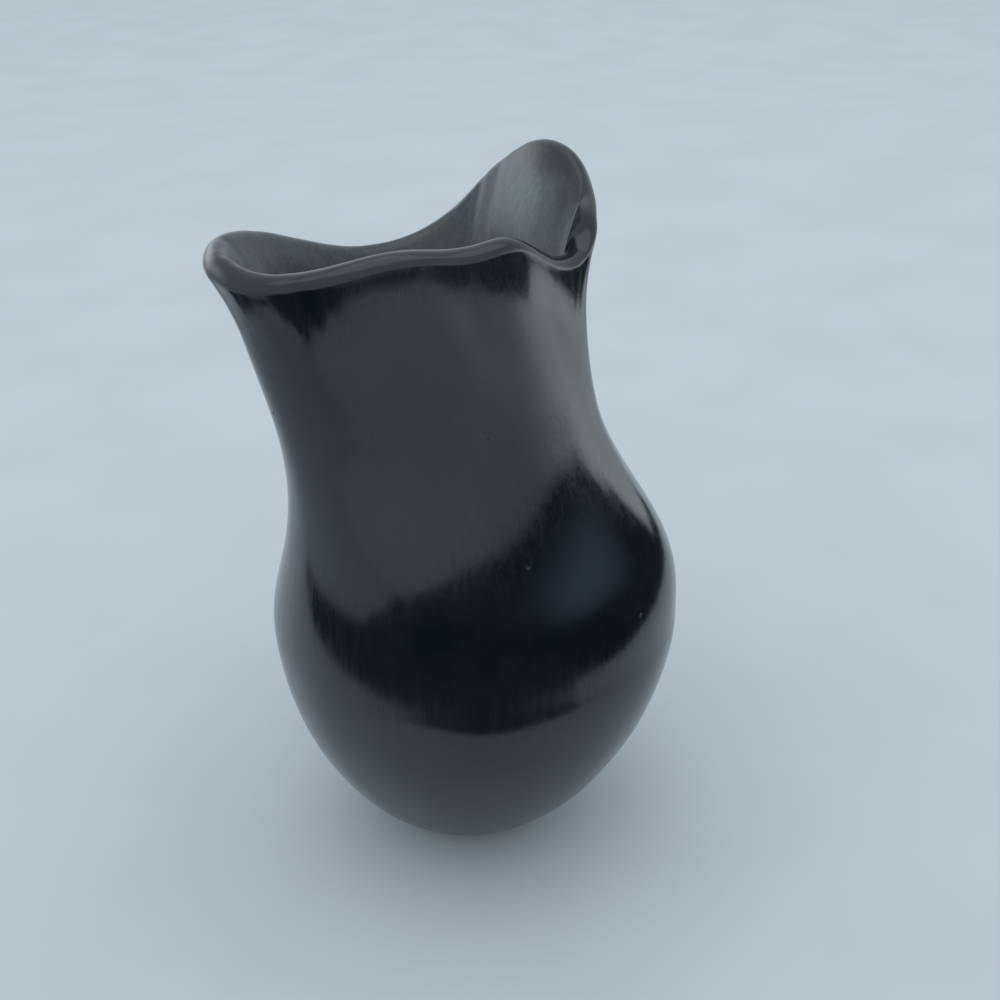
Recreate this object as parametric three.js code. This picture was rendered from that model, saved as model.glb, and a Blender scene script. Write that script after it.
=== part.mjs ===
// A small black pitcher, hand-built from clay: a pressed foot, stacked wall coils, a shaped rim
// with a pulled spout and a raised lobe, and a strap handle luted on behind.
// Millimetres, +Z up. The origin is the middle of the foot, and the handle stands towards +X.
import * as THREE from 'three';

// Foot and belly
const FOOT_RADIUS = 12.4;
const BELLY_RADIUS = 38.9;
const BELLY_HEIGHT = 48.5;
const BOWL_FULLNESS = 1.85; // power of the bowl's outline, where 2 is an ellipse
const BELLY_BACK = 0.2; // how far the belly's middle lies towards the handle
const BELLY_SIDE = -2.7; // and how far towards +Y

// Oval neck, pinched from the throat to the rim. Each length is half of the oval's,
// measured from the foot's axis towards the spout or towards the handle.
const NECK_TURN = THREE.MathUtils.degToRad(-22); // turn of the oval's long axis from +X
const THROAT_HEIGHT = 85.6;
const THROAT_FRONT = 32.5;
const THROAT_REAR = 21.6;
const THROAT_WIDE = 25.1; // half of the oval's width
const THROAT_SIDE = -0.7; // how far the oval's middle lies across its long axis
const RIM_HEIGHT = 109;
const RIM_FRONT = 34.5;
const RIM_REAR = 31.5;
const RIM_WIDE = 21.2;
const RIM_SIDE = 9.8;
const FLARE_POWER = 1.54; // how late the neck opens between throat and rim
const BACK_SQUARENESS = 3; // power of the oval's handle end, where 2 is an ellipse
const CURL_REACH = 2.8; // how far the rim is turned outwards
const CURL_HEIGHT = 12; // height over which it turns

// Wall and lip
const WALL = 4.8;
const LIP_DROP = 2.8; // height of the rounded lip
const LIP_CREST = 2.9; // distance of the lip's crest from the outer face

// Rise and fall of the rim: height, and angle and spread in degrees round the neck
const LIFT_START = 49.8; // level where the rim's rise and fall begins
const SPOUT = { lift: 10.6, angle: 134, spread: 29.6 };
const LOBE = { lift: 19.7, angle: -21.4, spread: 27.5 };
const FRONT_RISE = { lift: 15.2, angle: -145, spread: 35 };
const SIDE_RISE = { lift: 7.8, angle: -96, spread: 16 };
const PULL_START = 71.6; // level where the spout begins to be drawn out of the oval
const SPOUT_REACH = 2.8; // how far the spout is pulled out

// Swellings at the near side: how far out, angle and spread round the neck, level and height
const THROAT_SWELL = { reach: 1.9, angle: -106, spread: 23, level: 83, height: 7 };
const CORNER_SWELL = { reach: 1, angle: -103, spread: 12, level: 107, height: 8 };

// Courses of clay
const PAD_HEIGHT = 10; // top of the pressed foot pad
const RIM_COIL_HEIGHT = 17; // level height of the last coil, with the lip
const SCARF = 2; // how much higher a joint lies inside than outside
const JOINT_GAP = 0.3; // film of slip between two pieces of clay

// Strap handle
const FINGER_GAP = 14; // room between the throat and the strap
const STRAP_THICKNESS = 6;
const STRAP_WIDTH = 10.5;
const STRAP_SIDE = 4; // how far the strap stands towards +Y
const ROOT_DROP = 9; // handle's upper end, below the lobe's crest
const ROOT_SIDE = 1; // the same for its upper end, behind the lobe's middle
const ROOT_WIDTH = 11;
const ROOT_THICKNESS = 7;
const ROOT_ARCH = 2; // rise of the strap as it leaves the lobe
const HEEL_DROP = 19; // handle's lower end, below the throat
const HEEL_WIDTH = 15;
const HEEL_THICKNESS = 10;
const HEEL_TUCK = 16; // height over which the strap turns in to the shoulder
const END_TAPER = 14; // length over which the strap's ends narrow
const LUTE_WIDTH = 2.4; // fillet of clay pressed round the strap's ends

// Fineness of the facets
const ROUND_STEPS = 56;
const COIL_STEPS = 2;
const PAD_STEPS = 3;
const RIM_STEPS = 7;
const LIP_STEPS = 6;
const STRAP_STEPS = 26;
const STRAP_SIDES = 18;

const COIL_NAMES = [
  'bowl_coil', 'lower_belly_coil', 'belly_coil', 'upper_belly_coil',
  'shoulder_coil', 'upper_shoulder_coil', 'throat_coil', 'neck_coil',
];

const FULL_TURN = 2 * Math.PI;
const UPWARDS = new THREE.Vector3(0, 0, 1);
const NORMAL_STEP = 0.02; // step for measuring the wall's slope
const HALVINGS = 36; // fineness of a search

const { clamp, lerp, smoothstep, radToDeg } = THREE.MathUtils;

// A smooth hump round the neck, 1 at its own angle.
function hump({ angle, spread }, degrees) {
  const away = THREE.MathUtils.euclideanModulo(degrees - angle + 180, 360) - 180;
  return Math.exp(-0.5 * (away / spread) ** 2);
}

// A soft swelling of the wall, at its own angle and level.
function swelling(swell, degrees, level) {
  const above = (level - swell.level) / swell.height;
  return swell.reach * hump(swell, degrees) * Math.exp(-0.5 * above ** 2);
}

// Radius of the bowl below the belly's widest level: a rounded outline that ends at the flat foot.
function bowlRadius(level) {
  const footShare = (FOOT_RADIUS / BELLY_RADIUS) ** BOWL_FULLNESS;
  const depth = BELLY_HEIGHT / (1 - footShare) ** (1 / BOWL_FULLNESS);
  const drop = clamp((BELLY_HEIGHT - level) / depth, 0, 1);
  return BELLY_RADIUS * (1 - drop ** BOWL_FULLNESS) ** (1 / BOWL_FULLNESS);
}

// Section of the oval at a turn: an ellipse whose handle end is squarer.
function ovalShare(turn, squareness) {
  const power = 2 / lerp(2, squareness, smoothstep(Math.cos(turn), 0, 0.8));
  const soften = (value) => Math.sign(value) * Math.abs(value) ** power;
  return [soften(Math.cos(turn)), soften(Math.sin(turn))];
}

// Outer face of the wall. The turn goes round the pot and the level climbs from foot to rim:
// a round bowl eases into the throat, which is pinched and flared to the rim with its spout and lobe.
function outerWall(turn, level) {
  const neck = smoothstep(level, BELLY_HEIGHT, THROAT_HEIGHT);
  const climb = (level - THROAT_HEIGHT) / (RIM_HEIGHT - THROAT_HEIGHT); // 0 at the throat, 1 at the rim
  const flare = Math.max(0, climb) ** FLARE_POWER;
  const belly = level < BELLY_HEIGHT ? smoothstep(level, 0, BELLY_HEIGHT) : 1 - neck;
  const body = bowlRadius(Math.min(level, BELLY_HEIGHT));
  const rearShare = smoothstep(Math.cos(turn), -0.7, 0.7);
  const throatLong = lerp(THROAT_FRONT, THROAT_REAR, rearShare);
  const rimLong = lerp(RIM_FRONT, RIM_REAR, rearShare);
  const long = lerp(body, throatLong, neck) + (rimLong - throatLong) * flare;
  const wide = lerp(body, lerp(THROAT_WIDE, RIM_WIDE, climb), neck);
  const [along, across] = ovalShare(turn, lerp(2, BACK_SQUARENESS, neck));
  const oval = new THREE.Vector3(long * along, wide * across, 0).applyAxisAngle(UPWARDS, NECK_TURN);

  const bearing = Math.atan2(oval.y, oval.x);
  const degrees = radToDeg(bearing);
  const pull = SPOUT_REACH * hump(SPOUT, degrees) * smoothstep(level, PULL_START, RIM_HEIGHT);
  const curl = CURL_REACH * Math.max(0, 1 - (RIM_HEIGHT - level) / CURL_HEIGHT) ** 2;
  const outwards = new THREE.Vector3(Math.cos(bearing), Math.sin(bearing), 0);
  const swell = swelling(THROAT_SWELL, degrees, level) + swelling(CORNER_SWELL, degrees, level);
  oval.addScaledVector(outwards, pull + curl + swell);

  const side = lerp(THROAT_SIDE, RIM_SIDE, climb) * neck;
  oval.add(new THREE.Vector3(0, side, 0).applyAxisAngle(UPWARDS, NECK_TURN));
  oval.addScaledVector(new THREE.Vector3(BELLY_BACK, BELLY_SIDE, 0), belly);

  const rises = [SPOUT, LOBE, FRONT_RISE, SIDE_RISE];
  const lift = rises.reduce((sum, rise) => sum + rise.lift * hump(rise, degrees), 0);
  oval.z = level + lift * smoothstep(level, LIFT_START, RIM_HEIGHT);
  return oval;
}

// Upward direction along a face, and the direction out of it.
function slopes(face, turn, level) {
  const above = Math.min(level + NORMAL_STEP, RIM_HEIGHT);
  const below = Math.max(above - 2 * NORMAL_STEP, 0);
  const up = face(turn, above).sub(face(turn, below)).normalize();
  const round = face(turn + NORMAL_STEP, level).sub(face(turn - NORMAL_STEP, level));
  return { up, out: round.cross(up).normalize() };
}

// A point at some depth inside the wall, measured square to the outer face.
function inWall(turn, level, depth) {
  return outerWall(turn, level).addScaledVector(slopes(outerWall, turn, level).out, -depth);
}

// The place between two bounds where a rising measure reaches its goal, found by halving.
function halve(low, high, goal, measure) {
  let [start, end] = [low, high];
  for (let i = 0; i < HALVINGS; i += 1) {
    const middle = (start + end) / 2;
    if (measure(middle) < goal) start = middle;
    else end = middle;
  }
  return (start + end) / 2;
}

// Level at which a depth inside the wall reaches a height.
function levelAt(turn, height, depth) {
  return halve(0, RIM_HEIGHT, height, (level) => inWall(turn, level, depth).z);
}

function ringAround(point) {
  return Array.from({ length: ROUND_STEPS }, (_, i) => point((i * FULL_TURN) / ROUND_STEPS));
}

function steps(from, to, count) {
  return Array.from({ length: count + 1 }, (_, i) => lerp(from, to, i / count));
}

// A closed body through a row of rings with equal counts. The row either closes on itself
// or is shut by a fan at each end. A four-sided patch is split along its shorter diagonal, and in the
// bands that are joints about its middle, so that two pieces that meet are split alike.
// The faces are turned outwards by the sign of the volume.
function loft(rings, { closed, ends, joints = [] }) {
  const count = rings[0].length;
  const points = rings.flat();
  const faces = [];
  const bands = closed ? rings.length : rings.length - 1;
  for (let band = 0; band < bands; band += 1) {
    const next = (band + 1) % rings.length;
    for (let i = 0; i < count; i += 1) {
      const j = (i + 1) % count;
      const [a, b, c, d] = [band * count + i, band * count + j, next * count + j, next * count + i];
      if (joints.includes(band)) {
        const corners = [a, b, c, d].map((k) => points[k]);
        const middle = corners.reduce((sum, corner) => sum.add(corner), new THREE.Vector3());
        const m = points.push(middle.divideScalar(corners.length)) - 1;
        faces.push([a, b, m], [b, c, m], [c, d, m], [d, a, m]);
      } else if (points[a].distanceTo(points[c]) < points[b].distanceTo(points[d])) {
        faces.push([a, b, c], [a, c, d]);
      } else {
        faces.push([a, b, d], [b, c, d]);
      }
    }
  }
  if (!closed) {
    const last = (rings.length - 1) * count;
    const first = points.push(ends[0]) - 1;
    const final = points.push(ends[1]) - 1;
    for (let i = 0; i < count; i += 1) {
      const j = (i + 1) % count;
      faces.push([first, j, i], [final, last + i, last + j]);
    }
  }
  const volume = faces.reduce((sum, [a, b, c]) => (
    sum + points[a].dot(new THREE.Vector3().crossVectors(points[b], points[c]))), 0);
  const index = volume > 0 ? faces.flat() : faces.flatMap(([a, b, c]) => [a, c, b]);
  const geometry = new THREE.BufferGeometry().setFromPoints(points);
  geometry.setIndex(index);
  geometry.computeVertexNormals();
  return geometry;
}

// Foot pad: the flat foot and the start of the bowl, pressed as one piece.
function footPad() {
  const top = PAD_HEIGHT - JOINT_GAP / 2;
  const outer = steps(0, top, PAD_STEPS).map((level) => ringAround((t) => outerWall(t, level)));
  const inner = steps(1, 0, PAD_STEPS)
    .map((share) => ringAround((t) => inWall(t, share * levelAt(t, top + SCARF, WALL), WALL)));
  const floor = inner.at(-1);
  const floorHeight = floor.reduce((sum, point) => sum + point.z, 0) / floor.length;
  const ends = [new THREE.Vector3(), new THREE.Vector3(0, 0, floorHeight)];
  return loft([...outer, ...inner], { closed: false, ends, joints: [PAD_STEPS] });
}

// Wall coil: a level ring of clay between two heights, scarfed to its neighbours.
function wallCoil(bottom, top) {
  const low = bottom + JOINT_GAP / 2;
  const high = top - JOINT_GAP / 2;
  const ringAt = (height, depth) => ringAround((t) => inWall(t, levelAt(t, height, depth), depth));
  const outer = steps(low, high, COIL_STEPS).map((height) => ringAt(height, 0));
  const inner = steps(high + SCARF, low + SCARF, COIL_STEPS).map((height) => ringAt(height, WALL));
  return loft([...outer, ...inner], { closed: true, joints: [COIL_STEPS, 2 * COIL_STEPS + 1] });
}

// Lip: from the outer face over the crest to the inner face, two quarter ovals in the wall's slope.
function lipPoint(turn, angle) {
  const level = RIM_HEIGHT - LIP_DROP;
  const halfWidth = angle < Math.PI / 2 ? LIP_CREST : WALL - LIP_CREST;
  const point = inWall(turn, level, LIP_CREST - halfWidth * Math.cos(angle));
  return point.addScaledVector(slopes(outerWall, turn, level).up, LIP_DROP * Math.sin(angle));
}

// Rim coil: the last ring, with the spout pulled out of it, the lobe drawn up and the lip rounded.
function rimCoil(bottom) {
  const low = bottom + JOINT_GAP / 2;
  const high = RIM_HEIGHT - LIP_DROP;
  const face = (share, height, depth) => ringAround((t) => (
    inWall(t, lerp(levelAt(t, height, depth), high, share), depth)));
  const outer = steps(0, 1, RIM_STEPS).map((share) => face(share, low, 0));
  const lip = steps(0, Math.PI, LIP_STEPS).slice(1, -1)
    .map((angle) => ringAround((t) => lipPoint(t, angle)));
  const inner = steps(1, 0, RIM_STEPS).map((share) => face(share, low + SCARF, WALL));
  const rings = [...outer, ...lip, ...inner];
  return loft(rings, { closed: true, joints: [rings.length - 1] });
}

// The face behind the handle: the outer wall, and above it the outer half of the lip.
function backFace(turn, level) {
  const lipStart = RIM_HEIGHT - LIP_DROP;
  if (level < lipStart) return outerWall(turn, level);
  return lipPoint(turn, ((level - lipStart) / LIP_DROP) * (Math.PI / 2));
}

// A point of the slip film over the handle side, at a place along Y and a height.
function onBack(side, height) {
  const turnAt = (level) => halve(-Math.PI / 2, Math.PI / 2, side, (turn) => backFace(turn, level).y);
  const level = halve(0, RIM_HEIGHT, height, (trial) => backFace(turnAt(trial), trial).z);
  const turn = turnAt(level);
  return backFace(turn, level).addScaledVector(slopes(backFace, turn, level).out, JOINT_GAP);
}

// Flattened round section of the strap: a share of its half width and of its half thickness.
function section(angle) {
  const soften = (value) => Math.sign(value) * Math.abs(value) ** 0.8;
  return [soften(Math.cos(angle)), soften(Math.sin(angle))];
}

function sectionRing(point) {
  return Array.from({ length: STRAP_SIDES }, (_, i) => point(...section((i * FULL_TURN) / STRAP_SIDES)));
}

// An oval ring lying on the handle side. The strap's outer face is up at the root and down at the heel.
function seatRing({ side, height, outerIsUp }, width, thickness) {
  const rise = outerIsUp ? thickness / 2 : -thickness / 2;
  return sectionRing((across, up) => onBack(side + (across * width) / 2, height + up * rise));
}

const ROOT = {
  side: ROOT_SIDE,
  height: lipPoint(0, Math.PI / 2).z - ROOT_DROP,
  width: ROOT_WIDTH,
  thickness: ROOT_THICKNESS,
  outerIsUp: true,
};
const HEEL = {
  side: STRAP_SIDE,
  height: THROAT_HEIGHT - HEEL_DROP,
  width: HEEL_WIDTH,
  thickness: HEEL_THICKNESS,
  outerIsUp: false,
};

// The strap's middle line: an ear from the lobe's back, out past the finger gap, to the shoulder.
function strapPath() {
  const root = onBack(ROOT.side, ROOT.height);
  const heel = onBack(HEEL.side, HEEL.height);
  const strapX = onBack(0, THROAT_HEIGHT).x + FINGER_GAP + STRAP_THICKNESS / 2;
  const pull = (8 * strapX - root.x - heel.x) / 6; // brings the curve's middle to the strap's place
  const rootPull = new THREE.Vector3(pull, STRAP_SIDE, root.z + ROOT_ARCH);
  const heelPull = new THREE.Vector3(pull, STRAP_SIDE, heel.z + HEEL_TUCK);
  return new THREE.CubicBezierCurve3(root, rootPull, heelPull, heel);
}

// Ring of the strap at a share of its length. Near an end it widens and leans into the wall's slope.
function strapRing(path, share, grow) {
  const length = path.getLength();
  const end = share < 0.5 ? ROOT : HEEL;
  const fromEnd = Math.min(share, 1 - share) * length;
  const nearness = clamp(1 - fromEnd / END_TAPER, 0, 1);
  const width = lerp(STRAP_WIDTH, end.width, nearness ** 2) + 2 * grow;
  const thickness = lerp(STRAP_THICKNESS, end.thickness, nearness ** 2) + 2 * grow;
  const middle = path.getPointAt(share);
  const along = path.getTangentAt(share);
  const sideways = new THREE.Vector3(0, 1, 0).addScaledVector(along, -along.y).normalize();
  const outer = new THREE.Vector3().crossVectors(along, sideways);
  const square = sectionRing((u, v) => middle.clone()
    .addScaledVector(sideways, (u * width) / 2)
    .addScaledVector(outer, (v * thickness) / 2));
  const shift = middle.clone().sub(path.getPointAt(share < 0.5 ? 0 : 1));
  const seat = seatRing(end, width, thickness).map((point) => point.add(shift));
  const lean = smoothstep(nearness, 0.25, 1);
  return square.map((point, i) => point.lerp(seat[i], lean));
}

// Smaller rings inside an end of the strap, so that its end face follows the wall.
function endFace(end) {
  return [1 / 4, 1 / 2, 3 / 4].map((size) => seatRing(end, end.width * size, end.thickness * size));
}

function handleStrap(path) {
  const rings = steps(0, 1, STRAP_STEPS).map((share) => strapRing(path, share, 0));
  const all = [...endFace(ROOT), ...rings, ...endFace(HEEL).reverse()];
  return loft(all, { closed: false, ends: [path.getPointAt(0), path.getPointAt(1)] });
}

// Lute: a fillet of soft clay pressed into the corner round one end of the strap.
function lute(path, end, share) {
  const reach = 2 * (JOINT_GAP + LUTE_WIDTH);
  const inside = seatRing(end, end.width + 2 * JOINT_GAP, end.thickness + 2 * JOINT_GAP);
  const outside = seatRing(end, end.width + reach, end.thickness + reach);
  return loft([inside, outside, strapRing(path, share, JOINT_GAP)], { closed: true });
}

const BURNISHED = { color: 0x14191d, roughness: 0.24, metalness: 0 };
const HANDLED = { color: 0x171c20, roughness: 0.3, metalness: 0 };

const pitcher = new THREE.Group();
pitcher.name = 'pitcher';

function addPiece(name, geometry, finish) {
  const piece = new THREE.Mesh(geometry, new THREE.MeshStandardMaterial(finish));
  piece.name = name;
  pitcher.add(piece);
}

const neckTop = RIM_HEIGHT - RIM_COIL_HEIGHT;
const courseLevels = steps(PAD_HEIGHT, neckTop, COIL_NAMES.length);

addPiece('foot_pad', footPad(), BURNISHED);
COIL_NAMES.forEach((name, i) => {
  addPiece(name, wallCoil(courseLevels[i], courseLevels[i + 1]), BURNISHED);
});
addPiece('rim_coil', rimCoil(neckTop), BURNISHED);

const strap = strapPath();
const luteShare = LUTE_WIDTH / strap.getLength();
addPiece('handle_strap', handleStrap(strap), HANDLED);
addPiece('upper_lute', lute(strap, ROOT, luteShare), HANDLED);
addPiece('lower_lute', lute(strap, HEEL, 1 - luteShare), HANDLED);

export default pitcher;
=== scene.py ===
# %% [markdown]
# A small black pitcher, hand-built from clay and rubbed to a gloss with a smooth stone before firing.
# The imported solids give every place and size. The potter smooths all joints of the coils away, so here
# the wall is drawn again as one skin, with the same formula as the solids, and the handle as another.

import bpy
import numpy as np
from mathutils import Matrix, Vector


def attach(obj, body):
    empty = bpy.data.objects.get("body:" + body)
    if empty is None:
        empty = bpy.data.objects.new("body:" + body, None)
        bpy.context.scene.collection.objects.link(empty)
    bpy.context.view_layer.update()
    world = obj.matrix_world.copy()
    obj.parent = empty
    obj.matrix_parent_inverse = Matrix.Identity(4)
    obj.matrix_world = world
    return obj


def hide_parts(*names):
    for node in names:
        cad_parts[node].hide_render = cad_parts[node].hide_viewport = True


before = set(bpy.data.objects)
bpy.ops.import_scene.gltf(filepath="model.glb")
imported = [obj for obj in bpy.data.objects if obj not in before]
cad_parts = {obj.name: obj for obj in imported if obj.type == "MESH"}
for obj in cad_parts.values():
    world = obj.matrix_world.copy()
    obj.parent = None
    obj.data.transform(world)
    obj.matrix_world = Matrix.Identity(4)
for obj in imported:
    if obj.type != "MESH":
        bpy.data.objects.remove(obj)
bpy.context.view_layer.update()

MM = 0.001
print("solids:", sorted(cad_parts))

# %% [markdown]
# The wall's sizes, in millimetres. The belly is a round bowl. Above it the wall eases into an oval throat,
# is pinched across and opened lengthwise, and ends in a rim that rises into a spout and a tall lobe.
# Repeating the sizes of the solids keeps skin and solids in step, which tracing a mesh would not.

# %% Sizes of the wall
FOOT_RADIUS = 12.4
BELLY_RADIUS = 38.9
BELLY_HEIGHT = 48.5
BOWL_FULLNESS = 1.85
BELLY_SHIFT = np.array([0.2, -2.7])
NECK_TURN = np.radians(-22.0)
THROAT_HEIGHT, THROAT_FRONT, THROAT_REAR, THROAT_WIDE, THROAT_SIDE = 85.6, 32.5, 21.6, 25.1, -0.7
RIM_HEIGHT, RIM_FRONT, RIM_REAR, RIM_WIDE, RIM_SIDE = 109.0, 34.5, 31.5, 21.2, 9.8
FLARE_POWER = 1.54
BACK_SQUARENESS = 3.0
CURL_REACH, CURL_HEIGHT = 2.8, 12.0
LIFT_START, PULL_START = 49.8, 71.6
SPOUT = {"lift": 10.6, "angle": 134.0, "spread": 29.6}
LOBE = {"lift": 19.7, "angle": -21.4, "spread": 27.5}
FRONT_RISE = {"lift": 15.2, "angle": -145.0, "spread": 35.0}
SIDE_RISE = {"lift": 7.8, "angle": -96.0, "spread": 16.0}
SPOUT_REACH = 2.8
THROAT_SWELL = {"reach": 1.9, "angle": -106.0, "spread": 23.0, "level": 83.0, "height": 7.0}
CORNER_SWELL = {"reach": 1.0, "angle": -103.0, "spread": 12.0, "level": 107.0, "height": 8.0}
WALL, LIP_DROP, LIP_CREST = 4.8, 2.8, 2.9


def ease(value, start, end):
    """Smooth step: 0 up to start, 1 from end on, and three squares less two cubes between."""
    share = np.clip((value - start) / (end - start), 0.0, 1.0)
    return share * share * (3.0 - 2.0 * share)


def mix(a, b, share):
    """Straight blend from a to b."""
    return a + (b - a) * share


def hump(rise, degrees):
    """Bell curve round the neck, 1 at the rise's own angle and falling off by its spread."""
    away = (degrees - rise["angle"] + 180.0) % 360.0 - 180.0
    return np.exp(-0.5 * (away / rise["spread"]) ** 2)


print("rim level", RIM_HEIGHT, "mm, wall", WALL, "mm")

# %% [markdown]
# The outer face is one function of two parameters: the turn round the pot and the level from foot to rim.
# A lathe shape would be simpler, but this mouth isn't round: the oval, the spout and the lobe all bend it.
# Each effect is added to the last one, so each can be read and changed by itself.

# %% Outer face


def bowl_radius(level):
    """Radius of the bowl: a rounded outline of power BOWL_FULLNESS that ends at the flat foot."""
    foot_share = (FOOT_RADIUS / BELLY_RADIUS) ** BOWL_FULLNESS
    depth = BELLY_HEIGHT / (1.0 - foot_share) ** (1.0 / BOWL_FULLNESS)
    drop = np.clip((BELLY_HEIGHT - level) / depth, 0.0, 1.0)
    return BELLY_RADIUS * (1.0 - drop**BOWL_FULLNESS) ** (1.0 / BOWL_FULLNESS)


def swelling(swell, degrees, level):
    """Soft swelling of the wall: a bell curve round the neck times a bell curve over the level."""
    rise = np.exp(-0.5 * ((level - swell["level"]) / swell["height"]) ** 2)
    return swell["reach"] * hump(swell, degrees) * rise


def turned(x, y, angle):
    """The point x, y turned about the pot's axis."""
    return np.cos(angle) * x - np.sin(angle) * y, np.sin(angle) * x + np.cos(angle) * y


def oval(turn, level):
    """Level section: half lengths to spout and handle and a half width, all eased from belly to rim,
    on a power curve that is an ellipse towards the spout and squarer towards the handle."""
    neck = ease(level, BELLY_HEIGHT, THROAT_HEIGHT)
    climb = (level - THROAT_HEIGHT) / (RIM_HEIGHT - THROAT_HEIGHT)
    flare = np.maximum(0.0, climb) ** FLARE_POWER
    body = bowl_radius(np.minimum(level, BELLY_HEIGHT))
    rear = ease(np.cos(turn), -0.7, 0.7)
    throat = mix(THROAT_FRONT, THROAT_REAR, rear)
    rim = mix(RIM_FRONT, RIM_REAR, rear)
    length = mix(body, throat, neck) + (rim - throat) * flare
    width = mix(body, mix(THROAT_WIDE, RIM_WIDE, climb), neck)
    power = 2.0 / mix(2.0, mix(2.0, BACK_SQUARENESS, neck), ease(np.cos(turn), 0.0, 0.8))
    along = np.sign(np.cos(turn)) * np.abs(np.cos(turn)) ** power
    across = np.sign(np.sin(turn)) * np.abs(np.sin(turn)) ** power
    return turned(length * along, width * across, NECK_TURN)


def outer_wall(turn, level):
    """Outer face: the oval, pulled out at the spout, curled at the rim, shifted, and lifted by the rises."""
    turn, level = np.broadcast_arrays(np.asarray(turn, float), np.asarray(level, float))
    x, y = oval(turn, level)
    bearing = np.arctan2(y, x)
    degrees = np.degrees(bearing)
    neck = ease(level, BELLY_HEIGHT, THROAT_HEIGHT)
    climb = (level - THROAT_HEIGHT) / (RIM_HEIGHT - THROAT_HEIGHT)
    belly = np.where(level < BELLY_HEIGHT, ease(level, 0.0, BELLY_HEIGHT), 1.0 - neck)
    pull = SPOUT_REACH * hump(SPOUT, degrees) * ease(level, PULL_START, RIM_HEIGHT)
    curl = CURL_REACH * np.maximum(0.0, 1.0 - (RIM_HEIGHT - level) / CURL_HEIGHT) ** 2
    swell = swelling(THROAT_SWELL, degrees, level) + swelling(CORNER_SWELL, degrees, level)
    shift_x, shift_y = turned(0.0, mix(THROAT_SIDE, RIM_SIDE, climb) * neck, NECK_TURN)
    lift = sum(rise["lift"] * hump(rise, degrees) for rise in (SPOUT, LOBE, FRONT_RISE, SIDE_RISE))
    x = x + (pull + curl + swell) * np.cos(bearing) + shift_x + BELLY_SHIFT[0] * belly
    y = y + (pull + curl + swell) * np.sin(bearing) + shift_y + BELLY_SHIFT[1] * belly
    return np.stack([x, y, level + lift * ease(level, LIFT_START, RIM_HEIGHT)], axis=-1)


def unit(vectors):
    """Each vector at length 1."""
    return vectors / np.linalg.norm(vectors, axis=-1, keepdims=True)


SLOPE_STEP = 0.02


def slopes(face, turn, level):
    """Direction up along a face and direction out of it, from the differences of four near points."""
    above = np.minimum(level + SLOPE_STEP, RIM_HEIGHT)
    below = np.maximum(above - 2.0 * SLOPE_STEP, 0.0)
    up = unit(face(turn, above) - face(turn, below))
    around = face(turn + SLOPE_STEP, level) - face(turn - SLOPE_STEP, level)
    return up, unit(np.cross(around, up))


def in_wall(turn, level, depth):
    """A point at some depth in the wall, measured square to the outer face."""
    return outer_wall(turn, level) - depth * slopes(outer_wall, turn, level)[1]


def lip(turn, angle):
    """Lip: two quarter ovals from the outer face over the crest to the inner face, in the wall's slope."""
    level = np.full_like(turn, RIM_HEIGHT - LIP_DROP)
    half_width = np.where(angle < np.pi / 2, LIP_CREST, WALL - LIP_CREST)
    point = in_wall(turn, level, (LIP_CREST - half_width * np.cos(angle))[..., None])
    return point + LIP_DROP * np.sin(angle)[..., None] * slopes(outer_wall, turn, level)[0]


print("belly is", round(2 * BELLY_RADIUS, 1), "mm across")

# %% [markdown]
# Nothing pressed by hand is quite true. A few slow waves of up to a tenth of a millimetre are laid over
# the face, and finer ones along the lip, enough to make reflections wander as they do on a real pot,
# and too little to change its outline. Noise would do as well, but sums of sines close round the pot
# and come out the same on every run.

# %% Touch of the hand
WAVES = (
    (2, 0.055, 0.3, 0.10), (3, 0.085, 1.9, 0.08), (5, 0.12, 4.1, 0.06),
    (9, 0.2, 2.6, 0.035), (14, 0.07, 5.2, 0.025),
)
LIP_WAVES = ((19, 0.16, 0.7, 0.05), (31, -0.1, 3.3, 0.035), (47, 0.06, 1.2, 0.015))


def hand(turn, height):
    """Depth pressed into the face: a sum of waves, each with a count round the pot, a pitch up it, a phase
    and a size. The slow ones die out at the foot and the fine ones below the lip."""
    def wave(count, pitch, phase, size):
        return size * (1.0 + np.sin(count * turn + pitch * height + phase))

    slow = sum(wave(*values) for values in WAVES) * ease(height, 4.0, 20.0)
    return slow + sum(wave(*values) for values in LIP_WAVES) * ease(height, 92.0, 105.0)


print("deepest touch", round(2 * sum(w[3] for w in WAVES + LIP_WAVES), 2), "mm")

# %% [markdown]
# The skin runs as one sheet: from the middle of the foot out and up the wall, over the lip, down the inside
# and to the middle of the floor. Its rows are stacked in an array, and both poles are closed by a fan.
# Subdividing a coarse cage would also do, but would round the lip's edge away from its measured place.

# %% Skin of the wall
ROUND = 288
turn = np.arange(ROUND) * 2.0 * np.pi / ROUND
lip_level = RIM_HEIGHT - LIP_DROP
LIP_PRESS = 0.18


def grid(levels):
    """Turn and level of every point on some rows."""
    return np.meshgrid(turn, np.asarray(levels, float))


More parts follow.
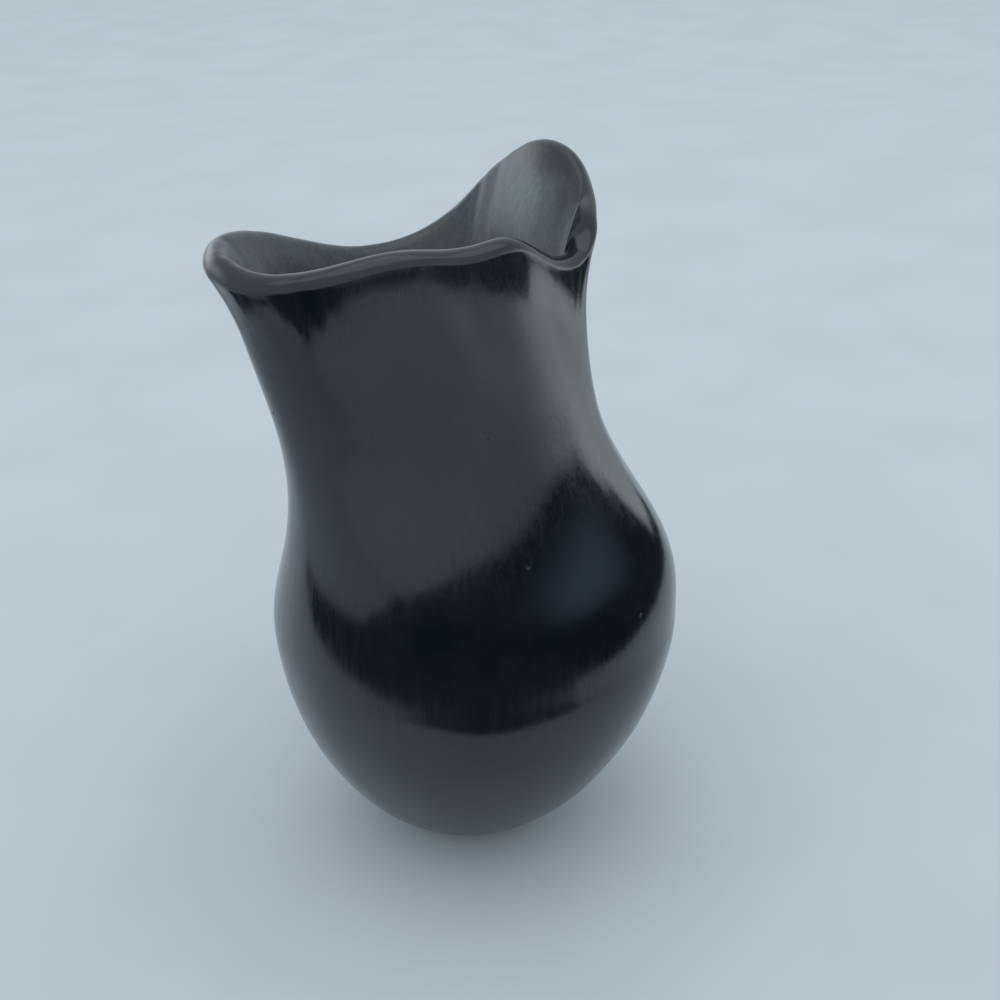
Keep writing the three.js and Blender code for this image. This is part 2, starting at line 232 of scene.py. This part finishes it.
foot_shares = np.array([0.3, 0.6, 0.8, 0.92, 0.97])
foot_rows = outer_wall(turn, np.zeros(ROUND))[None] * foot_shares[:, None, None]
outer_levels = np.concatenate([[0.0, 0.25, 0.6, 1.1], np.linspace(1.8, lip_level, 128)])
T, L = grid(outer_levels)
outer_rows = outer_wall(T, L)
outer_rows = outer_rows - hand(T, L)[..., None] * slopes(outer_wall, T, L)[1]
T, A = grid(np.linspace(0.0, np.pi, 26)[1:-1])
lip_levels = np.full_like(T, lip_level)
up, out = slopes(outer_wall, T, lip_levels)
lip_rows = lip(T, A) - hand(T, lip_levels)[..., None] * out - LIP_PRESS * np.sin(A)[..., None] * up
T, L = grid(np.linspace(lip_level, 0.0, 112))
inner_rows = in_wall(T, L, WALL) - hand(T, L)[..., None] * slopes(outer_wall, T, L)[1]
floor_height = inner_rows[-1, :, 2].mean()
floor_middle = np.array([0.0, 0.0, floor_height])
floor_shares = np.array([0.92, 0.75, 0.5, 0.25])
floor_rows = floor_middle + (inner_rows[-1] - floor_middle)[None] * floor_shares[:, None, None]
skin_rows = np.concatenate([foot_rows, outer_rows, lip_rows, inner_rows, floor_rows])
print("rows of the skin:", len(skin_rows), "floor inside at", round(floor_height, 2), "mm")

# %% Mesh from rows


def mesh_from_rows(name, rows, first, last):
    """Closed mesh through rows of equal counts, four-sided between rows, with a fan to a point at each end.
    The signed volume tells which way the faces point, and they are turned outwards."""
    count, around = rows.shape[:2]
    here = np.arange(count * around).reshape(count, around)
    ahead = np.roll(here, -1, axis=1)
    quads = np.stack([here[:-1], ahead[:-1], ahead[1:], here[1:]], axis=-1).reshape(-1, 4)
    start = np.full(around, count * around)
    fans = np.concatenate([
        np.stack([ahead[0], here[0], start], axis=-1),
        np.stack([here[-1], ahead[-1], start + 1], axis=-1),
    ])
    points = np.concatenate([rows.reshape(-1, 3), [first, last]]) * MM
    a, b, c, d = (points[quads[:, i]] for i in range(4))
    volume = (a * np.cross(b, c)).sum() + (a * np.cross(c, d)).sum()
    if volume < 0:
        quads, fans = quads[:, ::-1], fans[:, ::-1]
    mesh = bpy.data.meshes.new(name)
    mesh.from_pydata(points.tolist(), [], quads.tolist() + fans.tolist())
    mesh.polygons.foreach_set("use_smooth", np.ones(len(mesh.polygons), bool))
    mesh.update()
    piece = bpy.data.objects.new(name, mesh)
    bpy.context.scene.collection.objects.link(piece)
    print(name, len(mesh.vertices), "points,", len(mesh.polygons), "faces")
    return piece


def note(piece, name, values):
    """Keeps one number per point on the mesh, for the finish to read."""
    attribute = piece.data.attributes.new(name, "FLOAT", "POINT")
    attribute.data.foreach_set("value", np.asarray(values, np.float32))


wall_skin = mesh_from_rows("wall_skin", skin_rows, np.zeros(3), floor_middle)

# %% Inside, and scuffed places painted pale as a highlight
# On the lobe's inside face and inside below the rim the clay is scraped and rougher, and the pale grey put
# there is a painted highlight.
LOBE_SCUFF_AND_HIGHLIGHT = {"angle": -3.0, "spread": 13.0}
LOBE_FACE, LOBE_EDGE = (108.0, 118.0), (123.0, 127.5)
NECK_INSIDE, RIM_INSIDE, NECK_SCUFF_AND_HIGHLIGHT = (88.0, 106.0), (118.0, 126.0), 0.42

row_inside = np.concatenate([
    np.zeros(len(foot_rows) + len(outer_rows)),
    ease(np.linspace(0.0, 1.0, len(lip_rows)), 0.45, 1.0),
    np.ones(len(inner_rows) + len(floor_rows)),
])
note(wall_skin, "inside", np.concatenate([np.repeat(row_inside, ROUND), [0.0, 1.0]]))
skin_bearing = np.degrees(np.arctan2(skin_rows[..., 1], skin_rows[..., 0]))
skin_height = skin_rows[..., 2]
lobe_face = hump(LOBE_SCUFF_AND_HIGHLIGHT, skin_bearing) * ease(skin_height, *LOBE_FACE)
lobe_face = lobe_face * (1.0 - ease(skin_height, *LOBE_EDGE))
near_rim = NECK_SCUFF_AND_HIGHLIGHT * ease(skin_height, *NECK_INSIDE) * (1.0 - ease(skin_height, *RIM_INSIDE))
scuff_and_highlight = row_inside[:, None] * np.maximum(lobe_face, near_rim)
note(wall_skin, "scuff_and_highlight", np.concatenate([scuff_and_highlight.ravel(), [0.0, 0.0]]))
print("scuffed share of the skin:", round(scuff_and_highlight.mean(), 3))

# %% [markdown]
# The handle is a flat strap of clay, bent like an ear from the lobe's back to the shoulder. Its ends are
# pressed on and smoothed with wet clay, so the strap flares into the wall without an edge. It is a section
# carried along a path, and each end is a curve that leaves the strap along it and meets the wall along it.

# %% Sizes of the strap
FINGER_GAP = 14.0
STRAP_THICKNESS, STRAP_WIDTH, STRAP_SIDE = 6.0, 10.5, 4.0
ROOT_DROP, ROOT_SIDE, ROOT_WIDTH, ROOT_THICKNESS, ROOT_ARCH = 9.0, 1.0, 11.0, 7.0, 2.0
HEEL_DROP, HEEL_WIDTH, HEEL_THICKNESS, HEEL_TUCK = 19.0, 15.0, 10.0, 16.0
LUTE_WIDTH = 2.7
HALVINGS = 34


def back_face(turn, level):
    """The face behind the handle: the outer wall, and above it the outer half of the lip."""
    low = np.minimum(level, lip_level)
    over = np.clip((level - lip_level) / LIP_DROP, 0.0, 1.0) * np.pi / 2
    return np.where((level < lip_level)[..., None], outer_wall(turn, low), lip(turn, over))


def halve(low, high, goal, measure):
    """Place where a rising measure reaches its goal, for whole arrays, by halving."""
    start, end = np.full_like(goal, low), np.full_like(goal, high)
    for _ in range(HALVINGS):
        middle = (start + end) / 2.0
        short = measure(middle) < goal
        start, end = np.where(short, middle, start), np.where(short, end, middle)
    return (start + end) / 2.0


def on_back(side, height):
    """Point of the handle side at a place along Y and a height, and the direction out of the face there."""
    side, height = np.broadcast_arrays(np.asarray(side, float), np.asarray(height, float))

    def turn_at(level):
        return halve(-np.pi / 2, np.pi / 2, side, lambda t: back_face(t, level)[..., 1])

    level = halve(0.0, RIM_HEIGHT, height, lambda l: back_face(turn_at(l), l)[..., 2])
    place = turn_at(level)
    return back_face(place, level), slopes(back_face, place, level)[1]


root_height = lip(np.zeros(1), np.full(1, np.pi / 2))[0, 2] - ROOT_DROP
heel_height = THROAT_HEIGHT - HEEL_DROP
root = on_back(ROOT_SIDE, root_height)[0]
heel = on_back(STRAP_SIDE, heel_height)[0]
print("strap from", root.round(1), "to", heel.round(1))

# %% Path of the strap
strap_x = on_back(0.0, THROAT_HEIGHT)[0][0] + FINGER_GAP + STRAP_THICKNESS / 2
strap_pull = (8.0 * strap_x - root[0] - heel[0]) / 6.0
bends = np.array([
    root,
    [strap_pull, STRAP_SIDE, root[2] + ROOT_ARCH],
    [strap_pull, STRAP_SIDE, heel[2] + HEEL_TUCK],
    heel,
])


def ear(share):
    """Cubic curve through the bends: the four points weighted by the powers of share and its rest."""
    s = np.asarray(share, float)[:, None]
    weights = np.concatenate([(1 - s) ** 3, 3 * s * (1 - s) ** 2, 3 * s * s * (1 - s), s**3], axis=1)
    return weights @ bends


fine = np.linspace(0.0, 1.0, 2001)
run = np.concatenate([[0.0], np.cumsum(np.linalg.norm(np.diff(ear(fine), axis=0), axis=1))])
strap_length = run[-1]


def along_strap(distance):
    """Points and directions at distances along the strap, from the curve's measured length."""
    share = np.interp(distance, run, fine)
    ahead, behind = np.clip(share + 1e-3, 0.0, 1.0), np.clip(share - 1e-3, 0.0, 1.0)
    return ear(share), unit(ear(ahead) - ear(behind))


print("strap is", round(strap_length, 1), "mm long")

# %% Skin of the strap
STRAP_ROUND = 64
STRAP_CORNER = 0.8
STRAP_WAVES = ((0.025, 0.31, 1.0), (0.015, 0.83, 0.0))
angle = np.arange(STRAP_ROUND) * 2.0 * np.pi / STRAP_ROUND
across = np.sign(np.cos(angle)) * np.abs(np.cos(angle)) ** STRAP_CORNER
outwards = np.sign(np.sin(angle)) * np.abs(np.sin(angle)) ** STRAP_CORNER


def strap_rings(distance):
    """Sections of the strap: a flattened round, set square to the path, a little uneven along its length."""
    middle, direction = along_strap(distance)
    sideways = unit(np.array([0.0, 1.0, 0.0]) - direction * direction[:, 1:2])
    outer = np.cross(direction, sideways)
    swell = 1.0 + sum(size * np.sin(pitch * distance + phase) for size, pitch, phase in STRAP_WAVES)
    width = (STRAP_WIDTH / 2 * swell)[:, None, None] * across[None, :, None]
    thick = (STRAP_THICKNESS / 2 * swell)[:, None, None] * outwards[None, :, None]
    return middle[:, None] + sideways[:, None] * width + outer[:, None] * thick, direction


def seat(side, height, width, thickness, flip):
    """Oval on the wall round one end of the strap, with the direction out of the wall at each point."""
    return on_back(side + across * width / 2, height + flip * outwards * thickness / 2)


def fillet(ring, direction, seat_points, middle, pull, count=18):
    """Flare: a cubic that leaves the strap's ring along it and runs out flat onto the wall at the seat."""
    s = np.linspace(0.0, 1.0, count)[:, None, None]
    away = unit(seat_points - middle) * pull
    return ((2 * s**3 - 3 * s**2 + 1) * ring + (s**3 - 2 * s**2 + s) * direction * pull
            + (3 * s**2 - 2 * s**3) * seat_points + (s**3 - s**2) * away)


# %% Ends of the strap
FLARE_LENGTH, HEEL_SETBACK = 6.0, 1.5
BEDDING, CAP_SHARES = 0.7, np.array([0.6, 0.25])
distances = np.linspace(FLARE_LENGTH, strap_length - FLARE_LENGTH - HEEL_SETBACK, 120)
rings, directions = strap_rings(distances)
flares = []
ends = ((root, ROOT_SIDE, root_height, ROOT_WIDTH, ROOT_THICKNESS, 1.0, rings[0], -directions[0]),
        (heel, STRAP_SIDE, heel_height, HEEL_WIDTH, HEEL_THICKNESS, -1.0, rings[-1], directions[-1]))
for middle, side, height, width, thickness, flip, ring, direction in ends:
    points, out = seat(side, height, width + 2 * LUTE_WIDTH, thickness + 2 * LUTE_WIDTH, flip)
    flare = fillet(ring, direction, points, middle, FLARE_LENGTH)
    bed = points - BEDDING * out
    cap = middle - 1.5 * BEDDING * out.mean(0) + (bed - middle) * CAP_SHARES[:, None, None]
    flares.append((np.concatenate([flare[1:], bed[None], cap]), cap.mean(axis=(0, 1))))
strap_rows = np.concatenate([flares[0][0][::-1], rings, flares[1][0]])
strap_skin = mesh_from_rows("strap_skin", strap_rows, flares[0][1], flares[1][1])

# %% [markdown]
# The skins stand for the solids: the wall's for the foot, the coils and the rim, the strap's for the strap
# and its two fillets. They ride on the one body that the pitcher is.

# %% Skins for solids
wall_nodes = [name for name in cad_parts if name.endswith(("_coil", "_pad"))]
strap_nodes = [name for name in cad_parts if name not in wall_nodes]
for piece, nodes, slot in ((wall_skin, wall_nodes, "burnished_clay"), (strap_skin, strap_nodes, "handle_clay")):
    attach(piece, "root")
    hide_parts(*nodes)
    print(piece.name, "stands for", nodes)

# %% [markdown]
# Burnished clay is clay all through, blackened by smoke, with a skin that the stone has closed and polished.
# The strokes run up and down and leave soft streaks, the smoke leaves paler clouds, and here and there
# a grain has come out and left a pit. All of it is noise on the piece's own coordinates, in millimetres,
# so it stays put when the pot is turned. A picture would show seams and one fixed size.

# %% Material helper


class Finish:
    """A material under construction: adds nodes, sets their sockets and joins them."""

    def __init__(self, name):
        self.material = bpy.data.materials.new(name)
        self.material.use_nodes = True
        self.tree = self.material.node_tree
        self.shader = self.tree.nodes["Principled BSDF"]
        coordinates = self.tree.nodes.new("ShaderNodeTexCoord")
        self.place = self.node("ShaderNodeMapping", Vector=coordinates.outputs["Object"], Scale=(1 / MM,) * 3)

    def node(self, kind, **sockets):
        """New node with its sockets set by value or joined to another node's output."""
        made = self.tree.nodes.new(kind)
        for socket, value in sockets.items():
            self.put(made.inputs[socket.replace("_", " ")], value)
        return made

    def put(self, socket, value):
        if isinstance(value, bpy.types.NodeSocket):
            self.tree.links.new(socket, value)
        else:
            socket.default_value = value

    def noise(self, scale, detail=3.0, rough=0.5, stretch=(1.0, 1.0, 1.0)):
        """Cloudy noise; scale is in cycles per millimetre, and stretch shortens or lengthens it by axis."""
        place = self.node("ShaderNodeMapping", Vector=self.place.outputs[0], Scale=stretch)
        sockets = {"Vector": place.outputs[0], "Scale": scale, "Detail": detail, "Roughness": rough}
        return self.node("ShaderNodeTexNoise", **sockets).outputs["Fac"]

    def range(self, value, low, high, to_low=0.0, to_high=1.0):
        """Smooth change of range."""
        made = self.tree.nodes.new("ShaderNodeMapRange")
        made.interpolation_type = "SMOOTHSTEP"
        for socket, number in zip(made.inputs[:5], (value, low, high, to_low, to_high)):
            self.put(socket, number)
        return made.outputs[0]

    def sum(self, kind, a, b):
        """Two values put together by one sum, such as ADD or MULTIPLY."""
        made = self.tree.nodes.new("ShaderNodeMath")
        made.operation = kind
        self.put(made.inputs[0], a)
        self.put(made.inputs[1], b)
        return made.outputs[0]

    def blend(self, share, a, b):
        """Colour between two, by a share."""
        made = self.tree.nodes.new("ShaderNodeMix")
        made.data_type = "RGBA"
        for socket, value in ((made.inputs["Factor"], share), (made.inputs[6], a), (made.inputs[7], b)):
            self.put(socket, (*value, 1.0) if isinstance(value, tuple) else value)
        return made.outputs[2]


# %% Burnished clay
CLAY_DARK = (0.0038, 0.0072, 0.0110)
CLAY_CLOUD = (0.0105, 0.0145, 0.0180)
# Pale grey of the scuffed inside: scraped clay, and a painted highlight.
CLAY_SCUFF_AND_HIGHLIGHT = (0.135, 0.166, 0.184)
PIT_BLACK = (0.002, 0.002, 0.002)
WALL_ROUGH, STRAP_ROUGH, CLAY_IOR = 0.10, 0.16, 1.6


def burnished_clay(name, least_rough, has_inside):
    """Black clay with burnishing streaks, smoke clouds, fine grain and pits, and never smoother than asked."""
    finish = Finish(name)
    # Marks on the face: strokes of the stone, smoke clouds, grain and pits.
    streaks = finish.noise(0.75, 3.0, 0.55, (1.0, 1.0, 0.05))
    fine_streaks = finish.noise(2.6, 2.0, 0.5, (1.0, 1.0, 0.035))
    clouds = finish.noise(0.05, 4.0, 0.55)
    grain = finish.noise(3.0, 2.0, 0.6)
    cells = finish.node("ShaderNodeTexVoronoi", Vector=finish.place.outputs[0], Scale=0.16)
    near_pit = finish.range(cells.outputs["Distance"], 0.035, 0.085, 1.0, 0.0)
    some = finish.range(finish.noise(0.07, 1.0), 0.5, 0.62)
    pits = finish.sum("MULTIPLY", near_pit, some)

    # What they do to the colour, the roughness and the relief in millimetres.
    cloud_share = finish.range(clouds, 0.38, 0.72)
    colour = finish.blend(cloud_share, CLAY_DARK, CLAY_CLOUD)
    colour = finish.blend(pits, colour, PIT_BLACK)
    rough = finish.range(streaks, 0.3, 0.75, least_rough, least_rough + 0.07)
    rough = finish.sum("ADD", rough, finish.range(fine_streaks, 0.35, 0.7, 0.0, 0.05))
    rough = finish.sum("ADD", rough, finish.range(grain, 0.4, 0.75, 0.0, 0.04))
    rough = finish.sum("ADD", rough, finish.sum("MULTIPLY", pits, 0.3))
    height = finish.sum("MULTIPLY", streaks, 0.009)
    height = finish.sum("ADD", height, finish.sum("MULTIPLY", fine_streaks, 0.0022))
    height = finish.sum("ADD", height, finish.sum("MULTIPLY", grain, 0.0016))
    height = finish.sum("SUBTRACT", height, finish.sum("MULTIPLY", pits, 0.06))
    # The inside is only wiped, so it is rougher, and scuffed where tools and fingers reach; there it is also
    # painted a pale grey, which is a painted highlight on the lobe's inside face and below the rim.
    if has_inside:
        inside = finish.node("ShaderNodeAttribute")
        inside.attribute_name = "inside"
        inside_share = inside.outputs["Fac"]
        scratches = finish.noise(0.9, 4.0, 0.65, (1.0, 1.0, 0.25))
        rough = finish.sum("ADD", rough, finish.sum("MULTIPLY", inside_share, 0.12))
        rough_marks = finish.sum("MULTIPLY", inside_share, finish.sum("MULTIPLY", scratches, 0.05))
        height = finish.sum("ADD", height, rough_marks)
        scuff_and_highlight = finish.node("ShaderNodeAttribute")
        scuff_and_highlight.attribute_name = "scuff_and_highlight"
        scratch_patches = finish.range(scratches, 0.25, 0.75, 0.4, 1.0)
        scuff_and_highlight_share = finish.sum("MULTIPLY", scuff_and_highlight.outputs["Fac"], scratch_patches)
        colour = finish.blend(scuff_and_highlight_share, colour, CLAY_SCUFF_AND_HIGHLIGHT)
        rough = finish.sum("ADD", rough, finish.sum("MULTIPLY", scuff_and_highlight_share, 0.2))
    bump = finish.node("ShaderNodeBump", Strength=1.0, Distance=MM, Height=height)
    finish.put(finish.shader.inputs["Base Color"], colour)
    finish.put(finish.shader.inputs["Roughness"], rough)
    finish.put(finish.shader.inputs["Normal"], bump.outputs[0])
    finish.shader.inputs["IOR"].default_value = CLAY_IOR
    return finish.material


wall_skin.data.materials.append(burnished_clay("burnished_clay", WALL_ROUGH, True))
strap_skin.data.materials.append(burnished_clay("handle_clay", STRAP_ROUGH, False))
print("finishes:", [m.name for m in bpy.data.materials if m.users])

# %% [markdown]
# The stage is a plain pale floor. Places on it are given as seen from the camera, which is handy for lights,
# and turned into the pitcher's frame by one function. A plane object would do for the floor, but the next
# step needs bent sheets, so both are grids of points.

# %% Stage
VIEW_TURN = np.radians(35.0)
PALE, DARK, MATT = (0.69, 0.745, 0.78), (0.012, 0.013, 0.015), 0.9
FAR = 2500.0


def from_view(right, away, height):
    """Place seen from the camera (to the right, away from it, up) in the pitcher's frame, in metres."""
    right, away, height = (np.asarray(v, float) for v in (right, away, height))
    x = right * np.sin(VIEW_TURN) + away * np.cos(VIEW_TURN)
    y = -right * np.cos(VIEW_TURN) + away * np.sin(VIEW_TURN)
    return np.stack(np.broadcast_arrays(x, y, height), axis=-1) * MM


def sheet(name, points, colour, seen):
    """Flat or bent stage sheet through a grid of points, with one plain matt finish."""
    count, across_count = points.shape[:2]
    here = np.arange(count * across_count).reshape(count, across_count)
    quads = np.stack([here[:-1, :-1], here[:-1, 1:], here[1:, 1:], here[1:, :-1]], axis=-1).reshape(-1, 4)
    mesh = bpy.data.meshes.new(name)
    mesh.from_pydata(points.reshape(-1, 3).tolist(), [], quads.tolist())
    piece = bpy.data.objects.new(name, mesh)
    bpy.context.scene.collection.objects.link(piece)
    finish = Finish(name)
    tone = finish.blend(finish.range(finish.noise(0.02), 0.35, 0.65), colour, tuple(0.97 * c for c in colour))
    finish.put(finish.shader.inputs["Base Color"], tone)
    finish.shader.inputs["Roughness"].default_value = MATT
    finish.shader.inputs["Specular IOR Level"].default_value = 0.0
    mesh.materials.append(finish.material)
    if not seen:
        piece.visible_camera = piece.visible_shadow = piece.visible_diffuse = False
    return piece


sheet("pale_floor", from_view(*np.meshgrid([-FAR, FAR], [-FAR, FAR]), 0.0), PALE, True)
print("floor is", round(2 * FAR), "mm wide")

# %% [markdown]
# A glossy black pot shows little but what it mirrors. So a dark ground lies before it and a dark screen stands
# round it, as in a studio: they draw the dark crescent on the belly and the dark band under the lip.
# Their edges are short lists of a bearing and a reach or height. They only shape the reflections and are
# hidden from the camera, so that every view has the same plain floor. Painting the crescent on the clay
# would be wrong, because it would stay put when the pot is turned.

# %% Dark ground
GROUND_LIFT = 0.3
INNER_EDGE = np.array([
    [-108, 193], [-88, 150], [-65, 114], [-45, 98], [-18, 93], [-1, 87.5],
    [44, 93.5], [48, 99.5], [75, 107.5], [102, 138], [143, 240],
])
OUTER_EDGE = np.array([
    [-108, 194], [-73, 209], [-57, 228], [-41, 443], [-29, FAR],
    [112, FAR], [118, 700], [130, 350], [143, 300],
])


def round_pot(bearings, reach, heights):
    """Points round the pot, by bearings from the camera in degrees, the reach from its axis and heights."""
    angle = np.radians(bearings)
    return from_view(reach * np.sin(angle), -reach * np.cos(angle), heights)


def edge_at(bearings, edge):
    """Value of an edge, given as pairs of bearing and value, at other bearings, along straight lines."""
    return np.interp(bearings, edge[:, 0], edge[:, 1])


bearings = np.linspace(INNER_EDGE[0, 0], INNER_EDGE[-1, 0], 240)
reach = np.stack([edge_at(bearings, INNER_EDGE), edge_at(bearings, OUTER_EDGE)])
sheet("dark_ground", round_pot(bearings[None], reach, GROUND_LIFT), DARK, False)
print("dark ground starts", INNER_EDGE[:, 1].min(), "mm from the pot's axis")

# %% Dark screen
SCREEN_RADIUS = 330.0
SCREEN_TOP = np.array([
    [-48, 0], [-24, 75], [7, 147], [31, 181], [50, 201], [62, 200], [88, 162], [104, 94], [112, 80], [124, 10],
])
bearings = np.linspace(SCREEN_TOP[0, 0], SCREEN_TOP[-1, 0], 120)
heights = np.stack([np.zeros_like(bearings), edge_at(bearings, SCREEN_TOP)])
sheet("dark_screen", round_pot(bearings[None], SCREEN_RADIUS, heights), DARK, False)
print("screen reaches", SCREEN_TOP[:, 1].max(), "mm up")

# %% [markdown]
# Three soft glows do what windows do: a dim one within the crescent, one on the lobe's inside and one along
# the neck's flank. A lamp would show a hard edge in the gloss, so each is a card that glows in its middle
# and fades out, by a number kept on its points.

# %% Soft glow
CARD_STEP = 5.0


def glow_card(name, radius, plan, heights, over_screen, colour):
    """Card between two bearings and two heights, which count from the floor or from the screen's upper edge.
    Its glow is a squared cosine both ways, 1 in the middle and 0 at the edges."""
    along, up = np.linspace(-1.0, 1.0, 49)[None], np.linspace(-1.0, 1.0, 25)[:, None]
    bearings = mix(*plan, (along + 1.0) / 2.0)
    base = edge_at(bearings, SCREEN_TOP) if over_screen else 0.0
    card = sheet(name, round_pot(bearings, radius, base + mix(*heights, (up + 1.0) / 2.0)), DARK, False)
    note(card, "glow", (np.cos(along * np.pi / 2.0) ** 2 * np.cos(up * np.pi / 2.0) ** 2).ravel())
    tree = card.data.materials[0].node_tree
    share = tree.nodes.new("ShaderNodeAttribute")
    share.attribute_name = "glow"
    shader = tree.nodes["Principled BSDF"].inputs
    shader["Emission Color"].default_value = (*colour, 1.0)
    shader["Emission Strength"].default_value = 1.0
    tree.links.new(shader["Alpha"], share.outputs["Fac"])
    print(name, "from", plan[0], "to", plan[1], "degrees")


glow_card("belly_glow", SCREEN_RADIUS - CARD_STEP, (16.0, 104.0), (-40.0, 185.0), False, (0.34, 0.44, 0.56))
glow_card("lobe_glow", SCREEN_RADIUS, (-175.0, -80.0), (60.0, 380.0), False, (1.9, 2.05, 2.15))
glow_card("flank_glow", SCREEN_RADIUS + CARD_STEP, (38.0, 150.0), (-90.0, 150.0), True, (1.85, 1.95, 2.0))

# %% [markdown]
# The light itself is plain and soft: an even pale sky all round and one broad lamp overhead. The lamp's power
# is its radiance times pi times its area, so its mirror image is as bright however large it is.

# %% Light
SKY_COLOUR, SKY_STRENGTH = (0.77, 0.84, 0.89, 1.0), 0.85
LAMP_SIDE, LAMP_HEIGHT, LAMP_RADIANCE = 1200.0, 1300.0, 0.5
sky = bpy.data.worlds.new("pale_sky")
sky.use_nodes = True
sky.node_tree.nodes["Background"].inputs["Color"].default_value = SKY_COLOUR
sky.node_tree.nodes["Background"].inputs["Strength"].default_value = SKY_STRENGTH
bpy.context.scene.world = sky
lamp = bpy.data.lights.new("overhead", "AREA")
lamp.size = LAMP_SIDE * MM
lamp.energy = LAMP_RADIANCE * np.pi * lamp.size**2
lamp_object = bpy.data.objects.new("overhead", lamp)
lamp_object.location = (0.0, 0.0, LAMP_HEIGHT * MM)
bpy.context.scene.collection.objects.link(lamp_object)
bpy.context.scene.view_settings.view_transform = "Standard"
print("overhead lamp", round(lamp.energy, 2), "W")

# %% [markdown]
# The camera has the photograph's viewing angle: near, above the rim, a little tilted. Its place, pitch and tilt
# were worked out from vanishing points. Turning it by hand until it looks right would be less exact.

# %% Camera
LENS = 47.88
PITCH, TILT = np.radians(28.97), np.radians(2.2)
EYE = (7.96, -217.62, 190.0)
forward = np.array([0.0, np.cos(PITCH), -np.sin(PITCH)])
down = np.array([0.0, -np.sin(PITCH), -np.cos(PITCH)])
right = np.array([1.0, 0.0, 0.0]) * np.cos(TILT) + down * np.sin(TILT)
down = down * np.cos(TILT) - np.array([1.0, 0.0, 0.0]) * np.sin(TILT)
axes = [Vector(from_view(*axis) / MM) for axis in (right, -down, -forward)]
turned_camera = Matrix(axes).transposed().to_4x4()
camera = bpy.data.cameras.new("camera")
camera.lens = LENS
camera.sensor_width = 36.0
camera_object = bpy.data.objects.new("camera", camera)
camera_object.matrix_world = Matrix.Translation(Vector(from_view(*EYE))) @ turned_camera
bpy.context.scene.collection.objects.link(camera_object)
bpy.context.scene.camera = camera_object
print("camera at", [round(c, 4) for c in camera_object.location])
